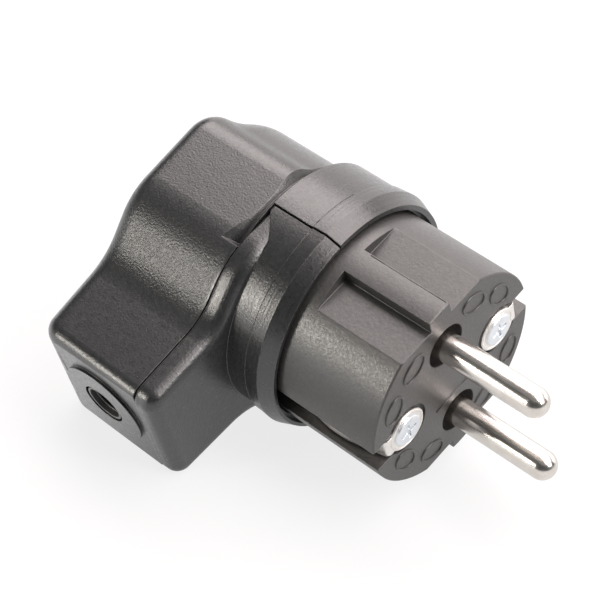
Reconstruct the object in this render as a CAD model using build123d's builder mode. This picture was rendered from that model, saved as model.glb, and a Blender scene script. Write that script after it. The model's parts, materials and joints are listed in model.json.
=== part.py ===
"""Angled side-earth plug with a two-part rubber body.

The plug is drawn with its contact face on the YZ plane: X runs out along the pins, Z runs from pin to pin
and Y points away from the cable. At the end every piece is laid down the way the plug comes to rest, on its
collar and on the corner of its cable end, with the origin on the ground under the middle of its box.
All sizes are in millimetres. Depths are measured back from the contact face.
"""
import os
from math import asin, atan2, degrees, hypot, tan

from build123d import *

# Clearances
slide_clearance = 0.15
fit_clearance = 0.05
seam_gap = 0.25

# Contact pins
pin_diameter = 4.8
pin_length = 19.0
pin_spacing = 19.0
pin_flange_diameter = 7.2
pin_flange_thickness = 1.0
tenon_diameter = 3.6
tenon_length = 4.0

# Contact carrier
face_diameter = 36.8
face_chamfer = 0.2
pin_well_margin = 0.2
pin_well_depth = 3.4
recess_depth = 2.4
recess_end_margin = 2.4
guide_rib_width = 4.6
groove_cut = 2.0
groove_width = 3.2
groove_land = 1.4
barrier_thickness = 1.4
barrier_gap = 0.6
barrier_margin = 0.5
barrier_height = 9.0

# Earth contacts, with the middle of each strip set in from the round side of the carrier
earth_screw_spacing = 22.0
earth_well_diameter = 9.0
earth_well_depth = 0.6
eyelet_diameter = 7.6
strip_thickness = 0.7
strip_width = 4.0
strip_play = 0.5
strip_front_set = 3.0
strip_bow_set = 1.2
strip_bow_depth = 9.0
strip_seat_set = 3.05
strip_seat_depth = 18.0
strip_corner_round = 0.7
strip_bow_round = 20.0
strip_seat_round = 8.0
slot_clearance = 0.2
bridge_thickness = 1.2
bridge_play = 0.2
bridge_margin = 0.2
hub_margin = 0.3
hub_height = 2.8
earth_washer_gap = 0.4
earth_washer_thickness = 0.8

# Screws and nuts
face_screw_diameter = 3.5
face_screw_head = 5.6
face_screw_head_height = 0.5
face_screw_tail = 0.9
small_screw_diameter = 3.0
small_screw_head = 5.0
small_screw_head_height = 1.8
clamp_screw_length = 10.5
head_edge_round = 0.35
drive_width = 0.6
drive_share = 0.6
drive_depth = 0.35
nut_size = 6.4
nut_thickness = 2.4

# Terminals
terminal_size = 7.2
terminal_length = 9.5
terminal_edge_round = 0.6
wire_bore = 3.2
wire_bore_depth = 5.0

# Collar
bulkhead_depth = 28.2
bulkhead_thickness = 4.0
window_gap = 1.6
band_wall = 1.95
bead_set = 4.0
bead_length = 2.7
bead_rise = 0.5
bead_step = 0.25
lip_length = 2.6
lip_wall = 0.9
lip_gap = 0.7
lip_gap_depth = 1.4
collar_step = 0.3
collar_cut_set = 0.4
collar_cut_start = 1.2
collar_cut_end = 5.5
flare_length = 7.0
flare_drop = 3.5
neck_length = 1.1
neck_drop = 1.4
neck_end = 9.0
neck_end_run = 13.0

# Rubber body
cover_wall = 2.8
nut_room = 0.5
terminal_room = 3.7
dome_flat = 0.5
dome_set = 1.0
dome_back_round = 8.0
leg_head = 10.5
leg_head_round = 6.0
leg_blend = 10.0
shoulder_reach = 10.7
shoulder_round = 12.0
slope_reach = 8.7
valley_round = 10.0
block_half_height = 12.4
block_draft = 0.06
block_end = 35.4
end_lean = 0.4
heel_reach = 12.05
heel_round = 4.5
back_lean = 2.2
back_round = 4.0
end_round = 2.4
lid_corner = 2.8
lid_side = 1.6
lid_end_set = 0.15

# Cable end
cable_bore = 6.1
sleeve_lip_wall = 0.4
sleeve_lip_length = 1.3
sleeve_lip_setback = 0.15
sleeve_lip_gap = 0.35
sleeve_flange_width = 1.7
sleeve_flange_thickness = 1.5
sleeve_tail = 0.8
entry_boss_diameter = 15.6
entry_boss_height = 0.1

# Cord grip
clamp_gap = 0.1
clamp_length = 5.6
clamp_room = 1.05
clamp_channel = 8.4
channel_margin = 0.55
clamp_head_margin = 0.1
saddle_thickness = 1.8
saddle_ridge_width = 4.0
saddle_ridge_height = 1.2

# Radii, worked out from the carrier outwards
face_radius = face_diameter / 2
carrier_bore = face_radius + slide_clearance
groove_radius = face_radius - groove_cut
recess_height = face_radius - recess_depth
lip_bore = face_radius + lip_gap
lip_radius = lip_bore + lip_wall
band_radius = carrier_bore + band_wall
bead_radius = band_radius + bead_rise
flare_radius = band_radius - flare_drop
neck_radius = band_radius - neck_drop

# Depths, worked out from the bulkhead forwards and backwards
carrier_length = bulkhead_depth - bridge_play - bridge_thickness
groove_rear_depth = carrier_length - groove_land
groove_depth = groove_rear_depth - groove_width
bead_rear_depth = bulkhead_depth - bead_set
bead_front_depth = bead_rear_depth - bead_length
lip_depth = bead_front_depth - lip_length
recess_length = lip_depth - recess_end_margin
seam_depth = bulkhead_depth + bulkhead_thickness
collar_back = seam_depth - seam_gap
collar_cut_depth = bulkhead_depth + collar_cut_set
lid_round = collar_back - bulkhead_depth - lid_side
flare_depth = seam_depth + flare_length
neck_depth = seam_depth + neck_length
saddle_front = collar_back + clamp_room + small_screw_head_height
clamp_split_depth = saddle_front + saddle_thickness
cable_depth = clamp_split_depth + channel_margin + clamp_channel / 2
heel_depth = cable_depth + heel_reach
rear_depth = heel_depth + back_lean
dome_depth = rear_depth - dome_set

# Pins, terminals and earth contacts
pin_heights = [pin_spacing / 2, -pin_spacing / 2]
screw_sides = [earth_screw_spacing / 2, -earth_screw_spacing / 2]
terminal_screw_depth = carrier_length + terminal_length - wire_bore_depth / 2
terminal_reach = (pin_spacing + terminal_size) / 2
window_half_height = terminal_reach + window_gap
window_reach = terminal_size / 2 + small_screw_head_height + window_gap
barrier_spacing = pin_spacing - terminal_size - 2 * barrier_gap - barrier_thickness
slot_width = strip_width + 2 * strip_play
strip_inside = face_radius - strip_seat_set - strip_thickness / 2
slot_floor = strip_inside - slot_clearance
eyelet_front = strip_thickness - earth_well_depth
face_screw_length = eyelet_front + seam_depth + nut_thickness + face_screw_tail
bridge_back = carrier_length + bridge_thickness
hub_back = bridge_back + hub_height
earth_washer_diameter = barrier_spacing - barrier_thickness - 2 * earth_washer_gap
hub_diameter = earth_washer_diameter - 2 * hub_margin
bridge_width = hub_diameter - 2 * bridge_margin

# Rubber body around what it holds
dome_half_width = earth_screw_spacing / 2 + nut_size / 2 + nut_room + cover_wall
dome_half_height = terminal_reach + terminal_room + cover_wall
dome_corner = dome_half_width - dome_flat
valley_reach = shoulder_reach + slope_reach
outside = 2 * dome_half_height

# Sleeve in the cable hole, and the cord grip behind it
wall_inside = block_end - cover_wall
lip_face = block_end + entry_boss_height - sleeve_lip_setback
flange_back = sleeve_flange_thickness - wall_inside
sleeve_lip_diameter = cable_bore + 2 * sleeve_lip_wall
sleeve_neck_diameter = sleeve_lip_diameter + 2 * sleeve_lip_gap
sleeve_flange_diameter = sleeve_neck_diameter + 2 * sleeve_flange_width
clamp_end = wall_inside - sleeve_flange_thickness - sleeve_tail - clamp_gap
clamp_reach = clamp_end - clamp_length / 2
clamp_half_width = block_half_height - block_draft * (clamp_end - valley_reach) - cover_wall - fit_clearance
clamp_screw_reach = clamp_half_width - small_screw_head / 2 - clamp_head_margin


def pin_axis(height):
    """Axis of the pin that stands at this height."""
    return Axis((0, 0, height), (1, 0, 0))


def keyhole(inset, reach, corner):
    """Corners and rounds of the leg seen from behind: as tall as the dome, then down to the cable end."""
    slope = atan2(dome_half_height - block_half_height, valley_reach - shoulder_reach)
    shift = inset * tan(slope / 2)
    end_height = block_half_height - block_draft * (reach - valley_reach)
    upper = [
        (leg_head - inset, dome_half_height - inset),
        (shift - shoulder_reach, dome_half_height - inset),
        (shift - valley_reach, block_half_height - inset),
        (-reach, end_height - inset),
    ]
    lower = [(y, -z) for y, z in reversed(upper)]
    rounds = [leg_head_round - inset, shoulder_round - inset, valley_round + inset, corner]
    return upper + lower, rounds + rounds[::-1]


def boot(inset, lean=0, corner=0, blend=0):
    """Body behind the seam: a dome behind the collar, joined to a leg that carries the cable end.

    The end face leans back towards the heel, its long edges are rounded, and the leg blends into the dome.
    """
    with BuildPart() as dome:
        with BuildSketch(Plane.YZ.offset(-seam_depth)):
            width = 2 * (dome_half_width - inset)
            height = 2 * (dome_half_height - inset)
            RectangleRounded(width, height, dome_corner - inset)
        extrude(amount=seam_depth - dome_depth + inset)
        fillet(dome.faces().sort_by(Axis.X)[0].edges(), dome_back_round - inset)
    outline, rounds = keyhole(inset, block_end + back_round, 0)
    slant = back_lean / (leg_head + block_end)
    top = leg_head + back_round
    bottom = inset - block_end
    back_top = (inset - rear_depth - slant * back_round, top)
    back_line = [back_top, (inset - heel_depth - slant * lean, bottom + lean)]
    long_line = [back_top, (inset - heel_depth + slant * back_round, bottom - back_round)]
    with BuildPart() as leg:
        with BuildSketch(Plane.YZ.offset(-seam_depth)):
            with BuildLine():
                FilletPolyline(outline, radius=rounds, close=True)
            make_face()
        extrude(amount=-rear_depth)
        # Back of the leg, rounded all along its edges
        with BuildSketch(Plane.XY):
            with BuildLine():
                Polyline((-seam_depth, top), *long_line, (-seam_depth, bottom - back_round), close=True)
            make_face()
        extrude(amount=outside, both=True, mode=Mode.INTERSECT)
        rear_face = leg.faces().sort_by(Axis.X)[0]
        fillet(rear_face.edges().sort_by(Axis.Y)[1:], back_round - inset / 2)
        # Cable end with its heel
        with BuildSketch(Plane.XY):
            with BuildLine():
                FilletPolyline(
                    [(-seam_depth, top), *back_line, (-seam_depth, bottom)],
                    radius=[0, 0, heel_round - inset / 2, 0],
                    close=True,
                )
            make_face()
        extrude(amount=outside, both=True, mode=Mode.INTERSECT)
        if corner:
            end_face = leg.faces().filter_by(GeomType.PLANE).sort_by(Axis.Y)[0]
            fillet(end_face.edges().filter_by(GeomType.LINE).sort_by(Axis.Z)[0::3], corner)
    joined = dome.part + leg.part
    if blend:
        creases = new_edges(dome.part, leg.part, combined=joined)
        joined = joined.fillet(blend, [edge for edge in creases if edge.center().X < -seam_depth - blend / 4])
    return joined


def collar(step):
    """Ring that holds the carrier, made thinner by the step, with the bulkhead across its back."""
    band = band_radius - step
    bead = bead_radius - step
    rib_radius = groove_radius + slide_clearance
    rib_front = groove_depth + slide_clearance
    rib_rear = groove_rear_depth - slide_clearance
    section = [
        (-seam_depth, 0),
        (-seam_depth, band),
        (-bead_rear_depth, band),
        (-bead_rear_depth, band + bead_step),
        (-bead_front_depth, bead),
        (-lip_depth, lip_radius - step),
        (-lip_depth, lip_bore),
        (-lip_depth - lip_gap_depth, lip_bore),
        (-lip_depth - lip_gap_depth, carrier_bore),
        (-rib_front, carrier_bore),
        (-rib_front, rib_radius),
        (-rib_rear, rib_radius),
        (-rib_rear, carrier_bore),
        (-bulkhead_depth, carrier_bore),
        (-bulkhead_depth, 0),
    ]
    with BuildPart() as ring:
        with BuildSketch(Plane.XY):
            with BuildLine():
                Polyline(section, close=True)
            make_face()
        revolve(axis=Axis.X)
    return ring.part


def screws(seats, head, head_height, shank, length):
    """Cross-head screws, one on each seat plane, with the heads on the side that the planes face."""
    with BuildPart() as group:
        with BuildSketch(*seats):
            Circle(head / 2)
        extrude(amount=head_height)
        tops = [seat.offset(head_height) for seat in seats]
        crowns = [edge for seat in tops for edge in group.edges() if seat.contains(edge.center())]
        fillet(crowns, head_edge_round)
        with BuildSketch(*tops):
            Rectangle(head * drive_share, drive_width)
            Rectangle(drive_width, head * drive_share)
        extrude(amount=-drive_depth, mode=Mode.SUBTRACT)
        with BuildSketch(*seats):
            Circle(shank / 2)
        extrude(amount=-length)
    return group.part


def pin(height):
    """Turned contact pin with a round tip, a flange in the well of the face and a riveted tenon."""
    radius = pin_diameter / 2
    flange = pin_flange_diameter / 2
    tenon = tenon_diameter / 2
    with BuildPart() as turned:
        with BuildSketch(Plane.XY.offset(height)):
            with BuildLine():
                tip = CenterArc((pin_length - radius, 0), radius, 0, 90)
                Polyline(
                    tip @ 1,
                    (pin_flange_thickness - pin_well_depth, radius),
                    (pin_flange_thickness - pin_well_depth, flange),
                    (-pin_well_depth, flange),
                    (-pin_well_depth, radius),
                    (-carrier_length, radius),
                    (-carrier_length, tenon),
                    (-carrier_length - tenon_length, tenon),
                    (-carrier_length - tenon_length, 0),
                    tip @ 0,
                )
            make_face()
        revolve(axis=pin_axis(height))
    return turned.part


def terminal(height):
    """Brass block on the inner end of a pin, with a bore for the wire and a tapped hole for its screw."""
    with BuildPart() as block:
        with BuildSketch(Plane.YZ.offset(-carrier_length)):
            with Locations((0, height)):
                RectangleRounded(terminal_size, terminal_size, terminal_edge_round)
        extrude(amount=-terminal_length)
        with BuildSketch(Plane.YZ.offset(-carrier_length)):
            with Locations((0, height)):
                Circle(tenon_diameter / 2 + fit_clearance)
        extrude(amount=-tenon_length, mode=Mode.SUBTRACT)
        with BuildSketch(Plane.YZ.offset(-carrier_length - terminal_length)):
            with Locations((0, height)):
                Circle(wire_bore / 2)
        extrude(amount=wire_bore_depth, mode=Mode.SUBTRACT)
        with BuildSketch(Plane.XZ):
            with Locations((-terminal_screw_depth, height)):
                Circle(small_screw_diameter / 2 + fit_clearance)
        extrude(amount=terminal_size, mode=Mode.SUBTRACT)
    return block.part


def earth_spring(side):
    """Plated strip: an eyelet on the face, a tab over the edge and a bowed leg back to the bridge."""
    eyelet_middle = eyelet_front - strip_thickness / 2
    seat = side * (face_radius - strip_seat_set)
    route = [
        (eyelet_middle, side * earth_screw_spacing / 2),
        (eyelet_middle, side * (face_radius - strip_front_set)),
        (-strip_bow_depth, side * (face_radius - strip_bow_set)),
        (-strip_seat_depth, seat),
        (-bridge_back, seat),
    ]
    with BuildPart() as strip:
        with BuildSketch(Plane.XY):
            with BuildLine():
                FilletPolyline(route, radius=[strip_corner_round, strip_bow_round, strip_seat_round])
            trace(line_width=strip_thickness)
        extrude(amount=strip_width / 2, both=True)
        with BuildSketch(Plane.YZ.offset(eyelet_front)):
            with Locations((side * earth_screw_spacing / 2, 0)):
                Circle(eyelet_diameter / 2)
        extrude(amount=-strip_thickness)
        with BuildSketch(Plane.YZ.offset(eyelet_front)):
            with Locations((side * earth_screw_spacing / 2, 0)):
                Circle(face_screw_diameter / 2 + fit_clearance)
        extrude(amount=-strip_thickness, mode=Mode.SUBTRACT)
    return strip.part


# Contact carrier
with BuildPart() as contact_carrier:
    with BuildSketch(Plane.YZ):
        Circle(face_radius)
    extrude(amount=-carrier_length)
    chamfer(contact_carrier.edges().sort_by(Axis.X)[-1], face_chamfer)
    # Guide recesses above and below, two on each side of a rib
    with BuildSketch(Plane.YZ):
        with GridLocations(guide_rib_width + face_radius, 2 * recess_height + recess_depth, 2, 2):
            Rectangle(face_radius, recess_depth)
    extrude(amount=-recess_length, mode=Mode.SUBTRACT)
    # Slots along both sides for the earth strips
    slot_size = face_radius - slot_floor
    with BuildSketch(Plane.YZ):
        with GridLocations(2 * slot_floor + slot_size, 0, 2, 1):
            Rectangle(slot_size, slot_width)
    extrude(amount=-carrier_length, mode=Mode.SUBTRACT)
    # Wells for the eyelets, each open to its slot
    with BuildSketch(Plane.YZ):
        with Locations(*[(side, 0) for side in screw_sides]):
            Circle(earth_well_diameter / 2)
        with GridLocations(earth_screw_spacing / 2 + face_radius, 0, 2, 1):
            Rectangle(face_radius - earth_screw_spacing / 2, slot_width)
    extrude(amount=-earth_well_depth, mode=Mode.SUBTRACT)
    # Groove that the ribs of the collar hold
    with BuildSketch(Plane.XY):
        with Locations((-groove_depth, groove_radius)):
            Rectangle(groove_width, face_radius, align=(Align.MAX, Align.MIN))
    revolve(axis=Axis.X, mode=Mode.SUBTRACT)
    # Barriers between the live terminals and the earth bridge
    with BuildSketch(Plane.YZ.offset(-carrier_length)):
        with GridLocations(0, barrier_spacing, 1, 2):
            Rectangle(2 * (window_reach - barrier_margin), barrier_thickness)
    extrude(amount=-barrier_height)
    # Wells and bores of the pins, and clearance holes of the face screws
    with BuildSketch(Plane.YZ):
        with Locations(*[(0, height) for height in pin_heights]):
            Circle(pin_flange_diameter / 2 + pin_well_margin)
    extrude(amount=-pin_well_depth, mode=Mode.SUBTRACT)
    with BuildSketch(Plane.YZ):
        with Locations(*[(0, height) for height in pin_heights]):
            Circle(pin_diameter / 2 + fit_clearance)
        with Locations(*[(side, 0) for side in screw_sides]):
            Circle(face_screw_diameter / 2 + slide_clearance)
    extrude(amount=-carrier_length, mode=Mode.SUBTRACT)
contact_carrier.part.label = "contact_carrier"

# Pins and their terminal blocks
upper_pin, lower_pin = [pin(height) for height in pin_heights]
upper_pin.label = "upper_pin"
lower_pin.label = "lower_pin"
upper_terminal, lower_terminal = [terminal(height) for height in pin_heights]
upper_terminal.label = "upper_terminal"
lower_terminal.label = "lower_terminal"

terminal_seats = [
    Plane((-terminal_screw_depth, -terminal_size / 2, height), x_dir=(1, 0, 0), z_dir=(0, -1, 0))
    for height in pin_heights
]
terminal_screws = screws(
    terminal_seats,
    small_screw_head,
    small_screw_head_height,
    small_screw_diameter,
    (terminal_size - wire_bore) / 2,
)
terminal_screws.label = "terminal_screws"

# Earth contacts
far_earth_spring = earth_spring(1)
far_earth_spring.label = "far_earth_spring"
near_earth_spring = earth_spring(-1)
near_earth_spring.label = "near_earth_spring"

with BuildPart() as earth_bridge:
    with BuildSketch(Plane.YZ.offset(-carrier_length)):
        Rectangle(2 * (strip_inside - fit_clearance), bridge_width)
    extrude(amount=-bridge_thickness)
    with BuildSketch(Plane.YZ.offset(-bridge_back)):
        Circle(hub_diameter / 2)
    extrude(amount=-hub_height)
    with BuildSketch(Plane.YZ.offset(-carrier_length)):
        with Locations(*[(side, 0) for side in screw_sides]):
            Circle(face_screw_diameter / 2 + slide_clearance)
        Circle(small_screw_diameter / 2 + fit_clearance)
    extrude(amount=-bridge_thickness - hub_height, mode=Mode.SUBTRACT)
earth_bridge.part.label = "earth_bridge"

with BuildPart() as earth_washer:
    with BuildSketch(Plane.YZ.offset(-hub_back)):
        Circle(earth_washer_diameter / 2)
        Circle(small_screw_diameter / 2 + slide_clearance, mode=Mode.SUBTRACT)
    extrude(amount=-earth_washer_thickness)
earth_washer.part.label = "earth_washer"

earth_screw = screws(
    [Plane((-hub_back - earth_washer_thickness, 0, 0), x_dir=(0, 1, 0), z_dir=(-1, 0, 0))],
    small_screw_head,
    small_screw_head_height,
    small_screw_diameter,
    earth_washer_thickness + hub_height,
)
earth_screw.label = "earth_screw"

face_screws = screws(
    [Plane((eyelet_front, side, 0), x_dir=(0, 1, 0), z_dir=(1, 0, 0)) for side in screw_sides],
    face_screw_head,
    face_screw_head_height,
    face_screw_diameter,
    face_screw_length,
)
face_screws.label = "face_screws"

# Square nuts behind the bulkheads of the two covers
nut_seats = [Plane.YZ.offset(-seam_depth), Plane.YZ.offset(seam_gap - seam_depth)]
with BuildPart() as anchor_nuts:
    for seat, side in zip(nut_seats, screw_sides):
        with BuildSketch(seat):
            with Locations((side, 0)):
                Rectangle(nut_size, nut_size)
                Circle(face_screw_diameter / 2 + fit_clearance, mode=Mode.SUBTRACT)
        extrude(amount=-nut_thickness)
anchor_nuts.part.label = "anchor_nuts"

# Rear cover: boot, flared mouth and the half collar away from the cable
body = boot(0, end_lean, end_round, leg_blend)
cavity = boot(cover_wall)
rear_collar = collar(0)
with BuildPart() as neck:
    with BuildSketch(Plane.XY):
        with BuildLine():
            Polyline(
                (-seam_depth, flare_radius),
                (-seam_depth, outside),
                (-neck_depth - outside + neck_radius, outside),
                (-neck_depth, neck_radius),
                (-neck_depth, flare_radius),
                close=True,
            )
        make_face()
    revolve(axis=Axis.X)
    # Both ends of the neck run out on a slope
    with BuildSketch(Plane.YZ.offset(-seam_depth)):
        with BuildLine():
            Polyline(
                (neck_end_run - neck_end, 0),
                (-neck_end - 2 * neck_end_run, 3 * dome_half_height),
                (-neck_end - 2 * neck_end_run, -3 * dome_half_height),
                close=True,
            )
        make_face()
    extrude(amount=-outside, mode=Mode.SUBTRACT)
with BuildPart() as rear_cover:
    add(rear_collar)
    split(bisect_by=Plane.XZ, keep=Keep.BOTTOM)
    add(body)
    # Neck behind the collar: the body is cut away there, and the flare fills the cut
    add(neck.part, mode=Mode.SUBTRACT)
    with BuildSketch(Plane.XY):
        with BuildLine():
            Polyline(
                (-seam_depth, 0),
                (-seam_depth, band_radius),
                (-neck_depth, neck_radius),
                (-flare_depth, flare_radius),
                (-flare_depth, 0),
                close=True,
            )
        make_face()
    revolve(axis=Axis.X)
    # Flat boss around the cable hole, which stands proud of the end face towards the heel
    with BuildSketch(Plane.XZ.offset(block_end + entry_boss_height)):
        with Locations((-cable_depth, 0)):
            Circle(entry_boss_diameter / 2)
    extrude(amount=-entry_boss_height - end_lean)
    add(cavity, mode=Mode.SUBTRACT)
    # Way through the bulkhead for the wires, and the hole of the face screw
    with BuildSketch(Plane.YZ.offset(-bulkhead_depth)):
        Rectangle(window_reach, 2 * window_half_height, align=(Align.MIN, Align.CENTER))
        with Locations((screw_sides[0], 0)):
            Circle(face_screw_diameter / 2 + slide_clearance)
    extrude(amount=bulkhead_depth - seam_depth, mode=Mode.SUBTRACT)
    # Cable hole
    with BuildSketch(Plane.XZ.offset(block_end + entry_boss_height)):
        with Locations((-cable_depth, 0)):
            Circle(sleeve_neck_diameter / 2 + fit_clearance)
    extrude(amount=-cover_wall - entry_boss_height, mode=Mode.SUBTRACT)
rear_cover.part.label = "rear_cover"

# Front cover: lid over the cable end with the other half of the collar
lid_outline, lid_rounds = keyhole(0, block_end - lid_end_set, lid_corner)
front_collar = collar(collar_step)
collar_outline = [
    (-lip_depth, -seam_gap),
    (-lip_depth, -outside),
    (-collar_cut_depth, -outside),
    (-collar_cut_depth, -collar_cut_end),
    (-collar_back, -collar_cut_start),
    (-collar_back, -seam_gap),
]
with BuildPart() as lid_collar:
    add(front_collar)
    with BuildSketch(Plane.XY):
        with BuildLine():
            Polyline(collar_outline, close=True)
        make_face()
    extrude(amount=outside, both=True, mode=Mode.INTERSECT)
with BuildPart() as front_cover:
    with BuildSketch(Plane.YZ.offset(-collar_back)):
        with BuildLine():
            FilletPolyline(lid_outline, radius=lid_rounds, close=True)
        make_face()
    extrude(amount=collar_back - bulkhead_depth)
    fillet(front_cover.faces().sort_by(Axis.X)[-1].edges(), lid_round)
    split(bisect_by=Plane.XZ.offset(seam_gap), keep=Keep.TOP)
    add(lid_collar.part)
    with BuildSketch(Plane.YZ.offset(-bulkhead_depth)):
        Rectangle(window_reach, 2 * window_half_height, align=(Align.MAX, Align.CENTER))
        with Locations((screw_sides[1], 0)):
            Circle(face_screw_diameter / 2 + slide_clearance)
    extrude(amount=bulkhead_depth - seam_depth, mode=Mode.SUBTRACT)
front_cover.part.label = "front_cover"

# Sleeve in the cable hole
bore_side = cable_bore / 2 - cable_depth
lip_side = sleeve_lip_diameter / 2 - cable_depth
neck_side = sleeve_neck_diameter / 2 - cable_depth
flange_side = sleeve_flange_diameter / 2 - cable_depth
with BuildPart() as cable_sleeve:
    with BuildSketch(Plane.XY):
        with BuildLine():
            Polyline(
                (bore_side, -lip_face),
                (lip_side, -lip_face),
                (lip_side, sleeve_lip_length - lip_face),
                (neck_side, sleeve_lip_length - lip_face),
                (neck_side, -wall_inside),
                (flange_side, -wall_inside),
                (flange_side, flange_back),
                (neck_side, flange_back),
                (neck_side, flange_back + sleeve_tail),
                (bore_side, flange_back + sleeve_tail),
                close=True,
            )
        make_face()
    revolve(axis=Axis((-cable_depth, 0, 0), (0, 1, 0)))
cable_sleeve.part.label = "cable_sleeve"

# Cord grip: a trough on the back wall and a saddle screwed down on its two posts
clamp_plane = Plane.XZ.offset(clamp_reach - clamp_length / 2)
clamp_seat = boot(cover_wall + fit_clearance)
with BuildPart() as clamp_base:
    with BuildSketch(clamp_plane):
        with Locations((-clamp_split_depth, 0)):
            Rectangle(rear_depth, 2 * clamp_half_width, align=(Align.MAX, Align.CENTER))
            channel_depth = cable_depth - clamp_split_depth
            Rectangle(channel_depth, clamp_channel, align=(Align.MAX, Align.CENTER), mode=Mode.SUBTRACT)
        with Locations((-cable_depth, 0)):
            Circle(clamp_channel / 2, mode=Mode.SUBTRACT)
    extrude(amount=clamp_length)
    add(clamp_seat, mode=Mode.INTERSECT)
    with BuildSketch(Plane.YZ.offset(-saddle_front)):
        with Locations((-clamp_reach, 0)):
            with GridLocations(0, 2 * clamp_screw_reach, 1, 2):
                Circle(small_screw_diameter / 2 + fit_clearance)
    extrude(amount=-clamp_screw_length, mode=Mode.SUBTRACT)
clamp_base.part.label = "clamp_base"

with BuildPart() as clamp_saddle:
    with BuildSketch(clamp_plane):
        with Locations((-clamp_split_depth, 0)):
            Rectangle(saddle_thickness, 2 * clamp_half_width, align=(Align.MIN, Align.CENTER))
            Rectangle(saddle_ridge_height, saddle_ridge_width, align=(Align.MAX, Align.CENTER))
    extrude(amount=clamp_length)
    add(clamp_seat, mode=Mode.INTERSECT)
    with BuildSketch(Plane.YZ.offset(-saddle_front)):
        with Locations((-clamp_reach, 0)):
            with GridLocations(0, 2 * clamp_screw_reach, 1, 2):
                Circle(small_screw_diameter / 2 + slide_clearance)
    extrude(amount=-saddle_thickness, mode=Mode.SUBTRACT)
clamp_saddle.part.label = "clamp_saddle"

clamp_seats = [
    Plane((-saddle_front, -clamp_reach, height), x_dir=(0, 1, 0), z_dir=(1, 0, 0))
    for height in (clamp_screw_reach, -clamp_screw_reach)
]
clamp_screws = screws(
    clamp_seats,
    small_screw_head,
    small_screw_head_height,
    small_screw_diameter,
    clamp_screw_length,
)
clamp_screws.label = "clamp_screws"

pieces = [
    rear_cover.part,
    front_cover.part,
    contact_carrier.part,
    upper_pin,
    lower_pin,
    upper_terminal,
    lower_terminal,
    terminal_screws,
    near_earth_spring,
    far_earth_spring,
    earth_bridge.part,
    earth_washer.part,
    earth_screw,
    face_screws,
    anchor_nuts.part,
    cable_sleeve.part,
    clamp_base.part,
    clamp_saddle.part,
    clamp_screws,
]

# Rest: the ground touches the bead of the collar and the rounded corner of the cable end
corner_reach = block_end - end_round
corner_height = block_half_height - block_draft * (block_end - valley_reach) - end_round
corner_distance = hypot(corner_reach, corner_height)
roll = degrees(asin((bead_radius - end_round) / corner_distance) - atan2(corner_height, corner_reach))
rolled = [Rot(roll, 0, 0) * piece for piece in pieces]
box = Compound(rolled).bounding_box()
ground = Pos(-box.center().X, -box.center().Y, -box.min.Z)

os.makedirs("parts", exist_ok=True)
for piece, turned_piece in zip(pieces, rolled):
    resting = ground * turned_piece
    resting.label = piece.label
    export_step(resting, f"parts/{piece.label}.step")
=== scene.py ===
"""Looks of the angled rubber plug: finishes, small moulded details, floor, lights and camera.

Lengths on the plug are millimetres in its drawing frame. Places in the room are metres.
"""
import json
from math import cos, pi, radians, sin

import bmesh
import bpy
from mathutils import Matrix, Vector


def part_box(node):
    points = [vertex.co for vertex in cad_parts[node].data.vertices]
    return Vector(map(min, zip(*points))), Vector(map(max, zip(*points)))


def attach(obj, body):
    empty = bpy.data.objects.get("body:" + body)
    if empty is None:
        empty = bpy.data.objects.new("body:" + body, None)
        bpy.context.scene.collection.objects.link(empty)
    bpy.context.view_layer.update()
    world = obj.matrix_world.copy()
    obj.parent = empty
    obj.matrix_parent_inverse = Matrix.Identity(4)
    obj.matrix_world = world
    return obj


MM = 0.001

# Places on the plug that details lie on
INSERT_RADIUS = 18.4
EYELET_REACH = 11
BORE_RADIUS = 3.05
BORE_AXIS_X = -41.35

# Zones with a look of their own, as limits along an axis of the drawing
COLLAR_X = (-31.8, -17)
BOOT_X = (-60, -32.6)
VALLEY_Y = (-21, -9)
BEYOND_BACK_X = (-400, -42)

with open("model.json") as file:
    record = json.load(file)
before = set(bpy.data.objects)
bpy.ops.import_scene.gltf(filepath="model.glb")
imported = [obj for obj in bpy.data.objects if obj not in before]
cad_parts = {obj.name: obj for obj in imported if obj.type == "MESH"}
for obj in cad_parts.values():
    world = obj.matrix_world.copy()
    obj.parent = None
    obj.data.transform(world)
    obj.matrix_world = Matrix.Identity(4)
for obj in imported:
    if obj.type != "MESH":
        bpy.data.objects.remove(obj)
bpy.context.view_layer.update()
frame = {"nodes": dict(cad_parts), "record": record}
nodes = frame["nodes"]


def middle(node):
    """Middle of a node's box."""
    low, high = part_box(node)
    return (low + high) / 2


# Drawing frame of the plug: x along the pins, z from pin to pin, y away from the cable, origin on the contact face
across_pins = (middle("upper_pin") - middle("lower_pin")).normalized()
along_pins = Vector((1, 0, 0))
from_cable = across_pins.cross(along_pins)
face_middle = (middle("upper_pin") + middle("lower_pin")) / 2
face_middle.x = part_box("contact_carrier")[1].x
plug = Matrix((along_pins, from_cable, across_pins)).transposed().to_4x4()
plug.translation = face_middle
to_plug = plug.inverted()


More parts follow.
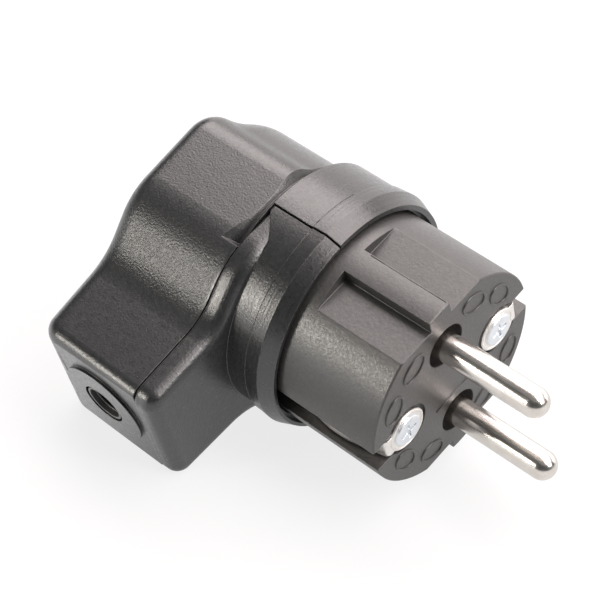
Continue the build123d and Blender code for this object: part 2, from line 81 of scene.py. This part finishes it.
class Nodes:
    """Node tree of one material. Its texture place is in metres in the drawing frame."""

    def __init__(self, name):
        self.material = bpy.data.materials.new(name)
        self.material.use_nodes = True
        self.tree = self.material.node_tree
        self.shader = self.tree.nodes["Principled BSDF"]
        mapping = self.add("ShaderNodeMapping")
        mapping.inputs["Location"].default_value = to_plug.translation
        mapping.inputs["Rotation"].default_value = to_plug.to_euler()
        self.link(self.add("ShaderNodeTexCoord").outputs["Object"], mapping.inputs["Vector"])
        self.place = mapping.outputs["Vector"]
        self.x, self.y = self.parts(self.place)[:2]

    def add(self, kind, **settings):
        """New node with its settings."""
        node = self.tree.nodes.new(kind)
        for key, value in settings.items():
            setattr(node, key, value)
        return node

    def link(self, output, target):
        """Link from an output to an input."""
        self.tree.links.new(output, target)

    def set(self, **values):
        """Values of the shader's own sockets, which are the same all over the surface."""
        for key, value in values.items():
            self.shader.inputs[key.replace("_", " ")].default_value = value

    def parts(self, vector):
        """Components of a vector."""
        node = self.add("ShaderNodeSeparateXYZ")
        self.link(vector, node.inputs[0])
        return node.outputs

    def math(self, operation, *values):
        """Result of a calculation on outputs and numbers."""
        node = self.add("ShaderNodeMath", operation=operation)
        for target, value in zip(node.inputs, values):
            if isinstance(value, (int, float)):
                target.default_value = value
            else:
                self.link(value, target)
        return node.outputs[0]

    def between(self, value, low, high, soft):
        """1 where the value lies between two limits in millimetres, fading out over a soft margin."""
        shares = []
        for edge, sign in ((low, 1), (high, -1)):
            node = self.add("ShaderNodeMapRange", interpolation_type="SMOOTHSTEP")
            node.inputs["From Min"].default_value = (edge - sign * soft) * MM
            node.inputs["From Max"].default_value = (edge + sign * soft) * MM
            self.link(value, node.inputs["Value"])
            shares.append(node.outputs[0])
        return self.math("MULTIPLY", *shares)

    def stretched(self, scale):
        """Texture place, drawn out or packed along each axis of the drawing."""
        node = self.add("ShaderNodeVectorMath", operation="MULTIPLY")
        node.inputs[1].default_value = scale
        self.link(self.place, node.inputs[0])
        return node.outputs[0]

    def noise(self, per_metre, detail, place=None):
        """Cloudy noise, by default at the texture place."""
        node = self.add("ShaderNodeTexNoise")
        node.inputs["Scale"].default_value = per_metre
        node.inputs["Detail"].default_value = detail
        self.link(place or self.place, node.inputs["Vector"])
        return node.outputs["Fac"]

    def span(self, noise, low, high):
        """Grey or colour that goes from one limit to the other with the middle range of a noise."""
        node = self.add("ShaderNodeValToRGB")
        for element, position, colour in zip(node.color_ramp.elements, (0.3, 0.7), (low, high)):
            element.position = position
            element.color = (*colour, 1) if isinstance(colour, tuple) else (colour, colour, colour, 1)
        self.link(noise, node.inputs["Fac"])
        return node.outputs["Color"]

    def blend(self, share, under, over):
        """Plain colour over an output, by a share that is an output too."""
        node = self.add("ShaderNodeMix", data_type="RGBA")
        self.link(share, node.inputs["Factor"])
        self.link(under, node.inputs[6])
        node.inputs[7].default_value = (*over, 1)
        return node.outputs[2]

    def specks(self, per_metre, size, share):
        """1 on small specks, in that share of the cells."""
        node = self.add("ShaderNodeTexVoronoi")
        node.inputs["Scale"].default_value = per_metre
        self.link(self.place, node.inputs["Vector"])
        near = self.math("LESS_THAN", node.outputs["Distance"], size)
        chosen = self.math("LESS_THAN", self.parts(node.outputs["Color"])[0], share)
        return self.math("MULTIPLY", near, chosen)

    def edges(self, radius):
        """Normal with the edges rounded by a radius in millimetres, and how far it turns there."""
        node = self.add("ShaderNodeBevel", samples=6)
        node.inputs["Radius"].default_value = radius * MM
        turn = self.add("ShaderNodeVectorMath", operation="DOT_PRODUCT")
        self.link(node.outputs[0], turn.inputs[0])
        self.link(self.add("ShaderNodeNewGeometry").outputs["Normal"], turn.inputs[1])
        return node.outputs[0], self.math("SUBTRACT", 1.0, turn.outputs["Value"])

    def bump(self, normal, *heights):
        """Chain of bumps on a normal: heights are (output, height in millimetres)."""
        for output, height in heights:
            node = self.add("ShaderNodeBump")
            node.inputs["Strength"].default_value = 1.0
            node.inputs["Distance"].default_value = height * MM
            self.link(output, node.inputs["Height"])
            if normal:
                self.link(normal, node.inputs["Normal"])
            normal = node.outputs["Normal"]
        self.link(normal, self.shader.inputs["Normal"])


def rubber(name, dark, light, smooth, rough, turned):
    """Moulded rubber: satin and grained, with worn edges, and turning marks of the mould on the collar.

    The slope from the dome to the cable end is grainier and duller than the rest.
    """
    m = Nodes(name)
    m.set(Specular_IOR_Level=1.0)
    mottle = m.noise(per_metre=420, detail=4)
    grain = m.noise(per_metre=3000, detail=3)
    normal, edge = m.edges(radius=0.18)
    colour = m.span(m.noise(per_metre=2400, detail=3), dark, light)
    worn = m.math("MULTIPLY", m.math("MULTIPLY", edge, 2.2), m.noise(per_metre=700, detail=3))
    colour = m.blend(worn, under=colour, over=(0.26, 0.25, 0.24))
    m.link(colour, m.shader.inputs["Base Color"])
    slope = m.math("MULTIPLY", m.between(m.y, *VALLEY_Y, soft=2), m.between(m.x, *BOOT_X, soft=0.3))
    gloss = m.span(m.noise(per_metre=1500, detail=4), smooth, rough)
    m.link(m.math("ADD", gloss, m.math("MULTIPLY", slope, 0.06)), m.shader.inputs["Roughness"])
    lathe = m.noise(per_metre=1, detail=4, place=m.stretched((1700, 40, 40)))
    rings = m.math("MULTIPLY", lathe, m.between(m.x, *COLLAR_X, soft=0.2))
    m.bump(normal, (mottle, 0.02), (grain, 0.035), (m.math("MULTIPLY", grain, slope), 0.05), (rings, turned))
    return m.material


def moulding(name, dark, light, smooth, rough):
    """Hard moulded plastic: satin and finely pitted, with worn edges and a little dust."""
    m = Nodes(name)
    m.set(Specular_IOR_Level=1.0)
    mottle = m.noise(per_metre=600, detail=4)
    pits = m.noise(per_metre=2600, detail=2)
    normal, edge = m.edges(radius=0.25)
    colour = m.span(m.noise(per_metre=1800, detail=3), dark, light)
    worn = m.math("MULTIPLY", m.math("MULTIPLY", edge, 1.2), m.noise(per_metre=800, detail=3))
    colour = m.blend(worn, under=colour, over=(0.15, 0.145, 0.14))
    dust = m.math("MULTIPLY", m.specks(per_metre=420, size=0.05, share=0.10), 0.5)
    colour = m.blend(dust, under=colour, over=(0.5, 0.49, 0.47))
    m.link(colour, m.shader.inputs["Base Color"])
    m.link(m.span(pits, smooth, rough), m.shader.inputs["Roughness"])
    m.bump(normal, (mottle, 0.015), (pits, 0.022))
    return m.material


def plated(name, dark, light, smooth, rough, scratches, mark_depth, edge_round):
    """Bare or plated metal with fine drawn marks, packed along each axis by the scale of the scratches."""
    m = Nodes(name)
    m.set(Metallic=1.0)
    marks = m.noise(per_metre=1000, detail=3, place=m.stretched(scratches))
    cloud = m.noise(per_metre=500, detail=3)
    normal = m.edges(edge_round)[0] if edge_round else None
    m.link(m.span(cloud, dark, light), m.shader.inputs["Base Color"])
    m.link(m.span(marks, smooth, rough), m.shader.inputs["Roughness"])
    m.bump(normal, (marks, mark_depth))
    return m.material


finishes = {
    "body_rubber": rubber(
        "body_rubber", dark=(0.010, 0.0108, 0.0114), light=(0.019, 0.0196, 0.020),
        smooth=0.26, rough=0.36, turned=0.09),
    "sleeve_rubber": rubber(
        "sleeve_rubber", dark=(0.05, 0.05, 0.05), light=(0.08, 0.08, 0.078),
        smooth=0.4, rough=0.55, turned=0.0),
    "carrier_plastic": moulding(
        "carrier_plastic", dark=(0.026, 0.0258, 0.025), light=(0.044, 0.0425, 0.0405),
        smooth=0.34, rough=0.46),
    "clamp_plastic": moulding(
        "clamp_plastic", dark=(0.5, 0.5, 0.48), light=(0.58, 0.57, 0.55),
        smooth=0.4, rough=0.5),
    "pin_plating": plated(
        "pin_plating", dark=(0.72, 0.68, 0.63), light=(0.82, 0.78, 0.74),
        smooth=0.19, rough=0.26, scratches=(0.4, 3, 3), mark_depth=0.0001, edge_round=0),
    "earth_plating": plated(
        "earth_plating", dark=(0.88, 0.85, 0.82), light=(0.95, 0.93, 0.90),
        smooth=0.34, rough=0.48, scratches=(0.5, 2, 2), mark_depth=0.003, edge_round=0.12),
    "screw_steel": plated(
        "screw_steel", dark=(0.80, 0.84, 0.88), light=(0.90, 0.93, 0.96),
        smooth=0.36, rough=0.52, scratches=(2, 2, 0.5), mark_depth=0.005, edge_round=0.12),
    "terminal_brass": plated(
        "terminal_brass", dark=(0.62, 0.46, 0.2), light=(0.72, 0.56, 0.28),
        smooth=0.2, rough=0.34, scratches=(2, 0.5, 2), mark_depth=0.004, edge_round=0.12),
}
for part in frame["record"]["subparts"]:
    data = nodes[part["node"]].data
    data.materials.clear()
    data.materials.append(finishes[part["material_slot"]])


# Low moulded lines and rims, as ridges on the surfaces. The section is in shares of the width and the height
RIDGE_SECTION = [(-0.5, -0.5), (-0.34, 0.5), (-0.12, 0.95), (0.12, 0.95), (0.34, 0.5), (0.5, -0.5)]


def ridge(name, path, outward, width, height, slot, closed=False):
    """Low rounded ridge along a path on a surface."""
    mesh = bmesh.new()
    rows = []
    for i, point in enumerate(path):
        before = path[i - 1] if closed or i else point
        after = path[(i + 1) % len(path)] if closed or i + 1 < len(path) else point
        out = outward(point)
        side = out.cross((after - before).normalized())
        rows.append([mesh.verts.new(plug @ ((point + side * (width * a) + out * (height * b)) * MM))
                     for a, b in RIDGE_SECTION])
    count = len(RIDGE_SECTION)
    for one, other in zip(rows, rows[1:] + rows[:1] if closed else rows[1:]):
        for k in range(count):
            mesh.faces.new((one[k], one[(k + 1) % count], other[(k + 1) % count], other[k]))
    if not closed:
        mesh.faces.new(rows[0])
        mesh.faces.new(rows[-1])
    bmesh.ops.recalc_face_normals(mesh, faces=mesh.faces)
    for face in mesh.faces:
        face.smooth = True
    data = bpy.data.meshes.new(name)
    mesh.to_mesh(data)
    mesh.free()
    data.materials.append(finishes[slot])
    piece = bpy.data.objects.new(name, data)
    bpy.context.scene.collection.objects.link(piece)
    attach(piece, "root")


def full_turn(count):
    """Angles that divide a full turn evenly."""
    return [2 * pi * k / count for k in range(count)]


def around_axis(x, radius, angle):
    """Point at an angle around the plug's axis, counted from away from the cable towards the upper pin."""
    return Vector((x, radius * cos(angle), radius * sin(angle)))


def from_axis(point):
    """Outward direction on a round surface about the plug's axis."""
    return Vector((0, point.y, point.z)).normalized()


def out_of_face(point):
    """Outward direction on the contact face, the same at every point."""
    return Vector((1, 0, 0))


def into_bore(point):
    """Direction from the wall of the cable hole to its axis."""
    return Vector((BORE_AXIS_X - point.x, 0, -point.z)).normalized()


# Plain oval rims on the contact face: (angle in degrees, distance from the middle)
FACE_RIMS = [
    (60, 14.1), (31.6, 14.8), (-32.5, 15.2), (120.5, 13.9),
    (149.5, 14.5), (-150, 14.5), (-119, 14.3), (-66.7, 14.6),
]
FACE_RIM_HALF_DEPTH = 1.75
FACE_RIM_HALF_WIDTH = 2.6
for number, (angle, reach) in enumerate(FACE_RIMS, 1):
    radial = around_axis(0, 1, radians(angle))
    across = around_axis(0, 1, radians(angle + 90))
    oval = [radial * (reach + FACE_RIM_HALF_DEPTH * cos(a)) + across * (FACE_RIM_HALF_WIDTH * sin(a))
            for a in full_turn(48)]
    ridge(f"face_rim_{number}", oval, out_of_face, width=0.44, height=0.24, slot="carrier_plastic", closed=True)

# Plain bar on the contact face, below its middle
bar = [Vector((0, y, -4.0)) for y in (-4.5, -2, 0.5, 3)]
ridge("face_line", bar, out_of_face, width=0.4, height=0.16, slot="carrier_plastic")

# Mould lines along the insert
for side, angle in (("top", 83.5), ("bottom", -83.5)):
    line = [around_axis(x, INSERT_RADIUS, radians(angle)) for x in (-0.5, -4, -8, -12, -15)]
    ridge(f"insert_line_{side}", line, from_axis, width=0.22, height=0.05, slot="carrier_plastic")

# Mould lines around the collar on both covers: (name, x, radius, first and last angle in degrees)
COLLAR_LINES = [
    ("rear_collar_line", -24.2, 20.75, 64, 88),
    ("front_collar_line_back", -24.2, 20.45, 92, 268),
    ("front_collar_line_crest", -21.5, 20.7, 92, 150),
]
COLLAR_LINE_STEP = 2
for name, x, radius, first, last in COLLAR_LINES:
    ring = [around_axis(x, radius, radians(angle)) for angle in range(first, last + 1, COLLAR_LINE_STEP)]
    ridge(name, ring, from_axis, width=0.2, height=0.06, slot="body_rubber")

# Raised rims of the earth eyelets
EYELET_RIM_RADIUS = 3.5
for name, y in (("near_earth_spring", -EYELET_REACH), ("far_earth_spring", EYELET_REACH)):
    front = (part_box(name)[1].x - face_middle.x) / MM
    rim = [around_axis(front, EYELET_RIM_RADIUS, a) + Vector((0, y, 0)) for a in full_turn(64)]
    ridge(name.replace("spring", "rim"), rim, out_of_face, width=0.5, height=0.22, slot="earth_plating", closed=True)

# Ribs in the bore of the cable sleeve
for number, y in enumerate((-34.3, -33.2, -32.1), 1):
    rib = [Vector((BORE_AXIS_X + BORE_RADIUS * cos(a), y, BORE_RADIUS * sin(a))) for a in full_turn(48)]
    ridge(f"sleeve_rib_{number}", rib, into_bore, width=0.5, height=0.2, slot="sleeve_rubber", closed=True)


# Glow of the floor to the camera and to reflections, where 1 is white
FLOOR_GLOW_SHARE = 0.8
MIRRORED_LOSS = 0.2
MIRRORED_GAIN_BEYOND_BACK = 0.75


def floor_material():
    """Pale floor that takes shadows: white to the camera, and to reflections dimmer, but brighter behind the plug."""
    m = Nodes("floor")
    m.set(Roughness=0.9, Specular_IOR_Level=0.1)
    m.link(m.span(m.noise(per_metre=8, detail=2), 0.70, 0.74), m.shader.inputs["Base Color"])
    rays = m.add("ShaderNodeLightPath")
    seen = m.math("MAXIMUM", rays.outputs["Is Camera Ray"], rays.outputs["Is Glossy Ray"])
    glow = m.add("ShaderNodeEmission")
    gain = m.math("MULTIPLY", m.between(m.x, *BEYOND_BACK_X, soft=10), MIRRORED_GAIN_BEYOND_BACK)
    mirrored = m.math("MULTIPLY", rays.outputs["Is Glossy Ray"], m.math("SUBTRACT", gain, MIRRORED_LOSS))
    m.link(m.math("ADD", 1.0, mirrored), glow.inputs["Strength"])
    mix = m.add("ShaderNodeMixShader")
    m.link(m.math("MULTIPLY", seen, FLOOR_GLOW_SHARE), mix.inputs["Fac"])
    m.link(m.shader.outputs[0], mix.inputs[1])
    m.link(glow.outputs[0], mix.inputs[2])
    m.link(mix.outputs[0], m.tree.nodes["Material Output"].inputs["Surface"])
    return m.material


bpy.ops.mesh.primitive_plane_add(size=4)
floor = bpy.context.object
floor.name = "floor"
floor.data.materials.append(floor_material())


def lamp(name, place, aim, size, radiance, colour, turn=0):
    """Rectangular lamp that looks from a place at an aim, turned by degrees in its own plane."""
    light = bpy.data.lights.new(name, "AREA")
    light.shape = "RECTANGLE"
    light.size, light.size_y = size
    light.energy = radiance * pi * size[0] * size[1]
    light.color = colour
    box = bpy.data.objects.new(name, light)
    box.location = place
    facing = (Vector(place) - Vector(aim)).to_track_quat("Z", "Y").to_matrix()
    box.rotation_euler = (facing @ Matrix.Rotation(radians(turn), 3, "Z")).to_euler()
    bpy.context.scene.collection.objects.link(box)


PLUG_AIM = (0, 0, 0.02)
lamp("key_light", place=(-0.13, 0.285, 0.53), aim=(-0.13, 0.285, 0), size=(1.45, 0.52),
     radiance=4.8, colour=(1.0, 0.91, 0.90), turn=-14)
lamp("ceiling_light", place=(-0.25, -0.16, 0.53), aim=(-0.25, -0.16, 0), size=(1.3, 0.34),
     radiance=0.18, colour=(1.0, 0.95, 0.93), turn=-14)
lamp("back_light", place=(-0.1, 0.62, 0.22), aim=(-0.1, 0, 0.1), size=(1.3, 0.42),
     radiance=1.7, colour=(1.0, 0.93, 0.92))
lamp("side_light", place=(-0.27, -0.50, 0.15), aim=PLUG_AIM, size=(0.14, 0.20),
     radiance=15.0, colour=(1.0, 0.95, 0.88))
lamp("right_light", place=(0.55, 0.11, 0.36), aim=PLUG_AIM, size=(0.22, 0.22),
     radiance=11.0, colour=(1.0, 0.97, 0.94))

world = bpy.data.worlds.new("room")
world.use_nodes = True
room = world.node_tree.nodes["Background"].inputs
room["Color"].default_value = (0.90, 0.97, 1.0, 1)
room["Strength"].default_value = 0.075
bpy.context.scene.world = world
bpy.context.scene.view_settings.view_transform = "Standard"

# Camera of the photograph, placed in the drawing frame
eye = Vector((127.246, -114.496, 278.676)) * MM
ahead = Vector((-0.46106, 0.33005, -0.82370))
right = Vector((0.74352, 0.65036, -0.15559))
up = right.cross(ahead)
lens = bpy.data.cameras.new("camera")
lens.sensor_width = 36
lens.lens = 128.07
lens.clip_start = 0.01
camera = bpy.data.objects.new("camera", lens)
camera.matrix_world = plug @ Matrix.Translation(eye) @ Matrix((right, up, -ahead)).transposed().to_4x4()
bpy.context.scene.collection.objects.link(camera)
bpy.context.scene.camera = camera
